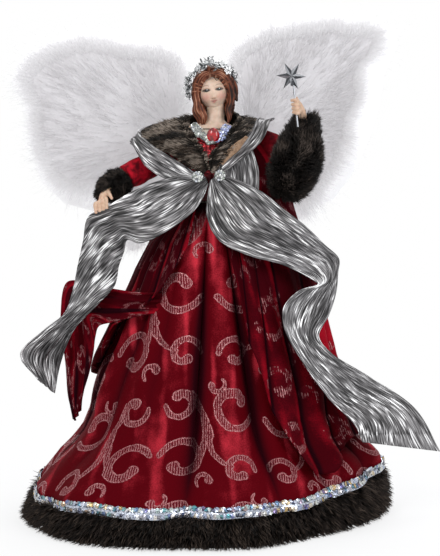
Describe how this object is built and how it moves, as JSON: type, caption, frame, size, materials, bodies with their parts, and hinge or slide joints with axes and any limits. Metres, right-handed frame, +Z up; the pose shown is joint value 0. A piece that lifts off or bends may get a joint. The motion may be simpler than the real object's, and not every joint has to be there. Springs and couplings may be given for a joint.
{
  "type": "angel tree topper",
  "caption": "Robed angel figure with feather wings, fur-trimmed coat, silver stole and a star wand; stands on its hem or slips over a tree's top shoot.",
  "frame": {"origin": "middle of the outline at rest, wings and drapes included, on the floor plane under the fur hem", "axes": "+Z up from the floor to the wing tips, -Y the way the figure faces, +X to the right as seen from the front"},
  "size_m": [0.3498, 0.2994, 0.4005],
  "materials": {
    "moulded_board": "matt pressed board",
    "scroll_velvet": "pile velvet with printed glitter scrolls",
    "red_velvet": "pile velvet with glitter streaks",
    "red_lame": "metallic cloth",
    "silver_lame": "crinkled metallic cloth",
    "sequin_braid": "rows of iridescent sequins",
    "brown_fur": "long pile",
    "tan_backing": "woven backing",
    "doll_skin": "painted, soft sheen",
    "auburn_hair": "painted, soft sheen",
    "silver_tinsel": "glitter coated",
    "plated_silver": "vacuum plated, mirror bright",
    "wand_rod_paint": "silver paint",
    "red_stone": "clear red, faceted",
    "steel_wire": "bright drawn wire",
    "wing_card": "matt white card",
    "white_down": "white feather down"
  },
  "bodies": {
    "figure": {"base_cone": "moulded_board", "torso_block": "moulded_board", "skirt": "scroll_velvet", "bodice": "red_lame", "coat": "red_velvet", "hem_sequin_braid": "sequin_braid", "hem_fur": "brown_fur", "head_and_bust": "doll_skin", "moulded_hair": "auburn_hair", "head_garland": "silver_tinsel", "arm_wire_left": "steel_wire", "hand_left": "doll_skin", "sleeve_left": "red_velvet", "fur_cuff_left": "brown_fur", "stole_lapel_left": "silver_lame", "stole_lapel_right": "silver_lame", "fur_collar": "brown_fur", "collar_lining": "tan_backing", "stole_drape_right": "silver_lame", "stole_drape_left": "silver_lame", "coat_train_left": "red_velvet", "pendant_gem": "red_stone", "neckline_trim": "silver_tinsel", "button_left": "plated_silver", "button_right": "plated_silver", "wing_bracket": "moulded_board"},
    "wing_left": {"wing_wire_left": "steel_wire", "wing_card_left": "wing_card", "wing_front_down_left": "white_down", "wing_back_down_left": "white_down"},
    "wing_right": {"wing_wire_right": "steel_wire", "wing_card_right": "wing_card", "wing_front_down_right": "white_down", "wing_back_down_right": "white_down"},
    "wand_arm": {"arm_wire_right": "steel_wire", "sleeve_right": "red_velvet", "fur_cuff_right": "brown_fur", "hand_right": "doll_skin"},
    "wand": {"wand_rod": "wand_rod_paint", "wand_star": "plated_silver"}
  },
  "joints": [
    {"name": "wing_left_swing", "type": "hinge", "parent": "figure", "child": "wing_left", "pos_m": [-0.01606, 0.0332, 0.266], "axis": [0, 0, 1], "range_deg": [-25, 6]},
    {"name": "wing_right_swing", "type": "hinge", "parent": "figure", "child": "wing_right", "pos_m": [0.00394, 0.0332, 0.266], "axis": [0, 0, 1], "range_deg": [-6, 25]},
    {"name": "wand_arm_swing", "type": "hinge", "parent": "figure", "child": "wand_arm", "pos_m": [0.01996, 0, 0.29], "axis": [0, 0, 1], "range_deg": [-4, 20]},
    {"name": "wand_pull", "type": "slide", "parent": "wand_arm", "child": "wand", "axis": [-0.0991, 0.1621, 0.9818], "range_m": [0, 0.06]}
  ]
}
